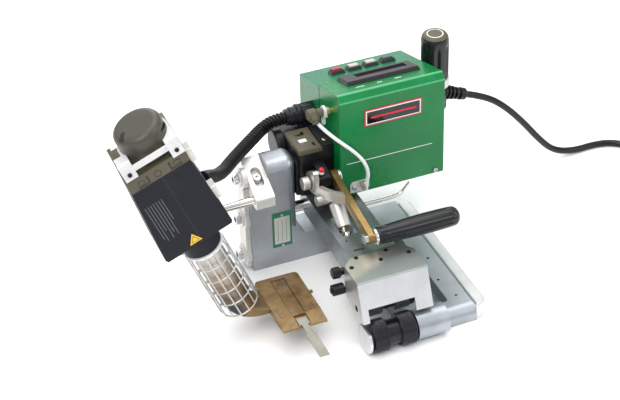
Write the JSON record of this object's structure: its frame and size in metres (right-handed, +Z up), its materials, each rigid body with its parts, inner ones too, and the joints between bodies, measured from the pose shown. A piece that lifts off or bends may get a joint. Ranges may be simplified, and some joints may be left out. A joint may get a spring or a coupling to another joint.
{
  "type": "hot wedge seam welding machine",
  "caption": "Self-driven machine that welds the overlap of two membranes with a hot wedge between drive and pressure rollers, worked by a tension lever.",
  "frame": {"origin": "centre of the base plate's sole, on the floor", "axes": "+X along the rollers' axles towards the control box's handle side, +Y from the rollers to the back of the machine, +Z up"},
  "size_m": [0.8075, 0.3181, 0.3039],
  "materials": {
    "cast_aluminium": "satin, fine cast and milled surface",
    "milled_aluminium": "bright, milled",
    "green_paint": "glossy enamel on folded sheet",
    "panel_black": "satin black",
    "black_plastic": "fine-grained black",
    "blower_plastic": "grained heat-resistant black",
    "olive_cover": "satin olive grey",
    "motor_grey": "satin dark olive grey",
    "ground_shaft": "ground and chromed",
    "steel_fasteners": "zinc plated",
    "dark_steel": "blackened, knurled",
    "fork_steel": "nickel plated",
    "bar_bronze": "yellow chromated",
    "wedge_bronze": "heat tinted bronze",
    "tongue_steel": "heat tinted strip",
    "tube_steel": "heat tinted tube",
    "cage_wire": "bright wire",
    "heater_ceramic": "unglazed",
    "connector_metal": "nickelled brass",
    "cord_black": "satin black sheath",
    "cable_white": "pale sheath",
    "grip_black": "fluted black",
    "collar_grey": "pale grey",
    "key_red": "satin key top",
    "key_white": "satin key top",
    "key_blue": "satin key top"
  },
  "bodies": {
    "root": {"base_plate": "cast_aluminium", "side_rail": "milled_aluminium", "frame_housing": "cast_aluminium", "side_cover": "milled_aluminium", "clamp_block": "cast_aluminium", "socket_bolts": "steel_fasteners", "guide_shaft": "ground_shaft", "pivot_shaft": "ground_shaft", "lower_axle": "milled_aluminium", "lever_bracket": "black_plastic", "lever_pin": "steel_fasteners", "gearbox_housing": "black_plastic", "gearbox_cover": "olive_cover", "terminal_cover": "black_plastic", "drive_motor": "black_plastic", "front_shell": "green_paint", "rear_shell": "green_paint", "panel_bezels": "panel_black", "hose_gland": "black_plastic", "sensor_connector": "connector_metal", "cable_bracket": "steel_fasteners", "sensor_cable": "cable_white", "cable_hose": "cord_black", "grip_socket": "collar_grey", "carrying_grip": "grip_black", "strain_relief": "cord_black", "mains_cord": "cord_black", "cord_coil": "cord_black", "mains_plug": "cord_black"},
    "arm": {"arm_channel": "cast_aluminium", "head_housing": "milled_aluminium", "head_screws": "steel_fasteners", "upper_axle": "steel_fasteners", "drive_chain": "dark_steel", "strut_tube": "fork_steel", "strut_spindle": "steel_fasteners", "side_knobs": "steel_fasteners", "sheet_guide_rod": "ground_shaft"},
    "lower_drive_roller": {"lower_roller": "dark_steel"},
    "upper_drive_roller": {"upper_roller": "dark_steel"},
    "strut_nut": {"adjusting_nut": "steel_fasteners"},
    "edge_guide": {"guide_roller": "black_plastic"},
    "lever": {"lever_bar": "bar_bronze", "lever_fork": "fork_steel"},
    "lever_handle": {"lever_grip": "grip_black"},
    "red_key": {"button_red": "key_red"},
    "plus_key": {"button_plus": "key_white"},
    "minus_key": {"button_minus": "key_white"},
    "menu_key": {"button_menu": "key_blue"},
    "blower": {"blower_casing": "blower_plastic", "casing_cover": "olive_cover", "motor_housing": "motor_grey", "motor_strap": "collar_grey", "hot_air_tube": "tube_steel", "heating_element": "heater_ceramic", "wire_cage": "cage_wire", "hot_wedge": "wedge_bronze", "test_channel_tongue": "tongue_steel", "blower_carriage": "cast_aluminium"}
  },
  "joints": [
    {"name": "arm_open", "type": "hinge", "parent": "root", "child": "arm", "pos_m": [-0.061, 0.08275, 0.066], "axis": [-1, 0, 0], "range_deg": [0, 5]},
    {"name": "lever_lift", "type": "hinge", "parent": "root", "child": "lever", "pos_m": [-0.061, 0.05575, 0.114], "axis": [-1, 0, 0], "range_deg": [0, 75]},
    {"name": "lower_roller_spin", "type": "hinge", "parent": "root", "child": "lower_drive_roller", "pos_m": [-0.061, -0.10725, 0.018], "axis": [1, 0, 0], "continuous": true},
    {"name": "upper_roller_spin", "type": "hinge", "parent": "arm", "child": "upper_drive_roller", "pos_m": [-0.061, -0.09225, 0.049], "axis": [1, 0, 0], "continuous": true},
    {"name": "strut_nut_spin", "type": "hinge", "parent": "arm", "child": "strut_nut", "pos_m": [-0.064, 0.00596, 0.07407], "axis": [0, -0.788, -0.6157], "continuous": true},
    {"name": "edge_guide_spin", "type": "hinge", "parent": "arm", "child": "edge_guide", "pos_m": [-0.101, -0.05875, 0.053], "axis": [1, 0, 0], "continuous": true},
    {"name": "grip_spin", "type": "hinge", "parent": "lever", "child": "lever_handle", "pos_m": [-0.001, -0.04425, 0.098], "axis": [1, 0, 0], "continuous": true},
    {"name": "blower_slide", "type": "slide", "parent": "root", "child": "blower", "axis": [1, 0, 0], "range_m": [0, 0.087]},
    {"name": "red_key_press", "type": "slide", "parent": "root", "child": "red_key", "axis": [0, -0.2975, -0.9547], "range_m": [0, 0.0015], "stiffness_N_per_m": 600},
    {"name": "plus_key_press", "type": "slide", "parent": "root", "child": "plus_key", "axis": [0, -0.2975, -0.9547], "range_m": [0, 0.0015], "stiffness_N_per_m": 600},
    {"name": "minus_key_press", "type": "slide", "parent": "root", "child": "minus_key", "axis": [0, -0.2975, -0.9547], "range_m": [0, 0.0015], "stiffness_N_per_m": 600},
    {"name": "menu_key_press", "type": "slide", "parent": "root", "child": "menu_key", "axis": [0, -0.2975, -0.9547], "range_m": [0, 0.0015], "stiffness_N_per_m": 600}
  ],
  "couplings": [
    {"joint": "lever_lift", "follows": "arm_open", "ratio": 15},
    {"joint": "upper_roller_spin", "follows": "lower_roller_spin", "ratio": -1.5217}
  ]
}
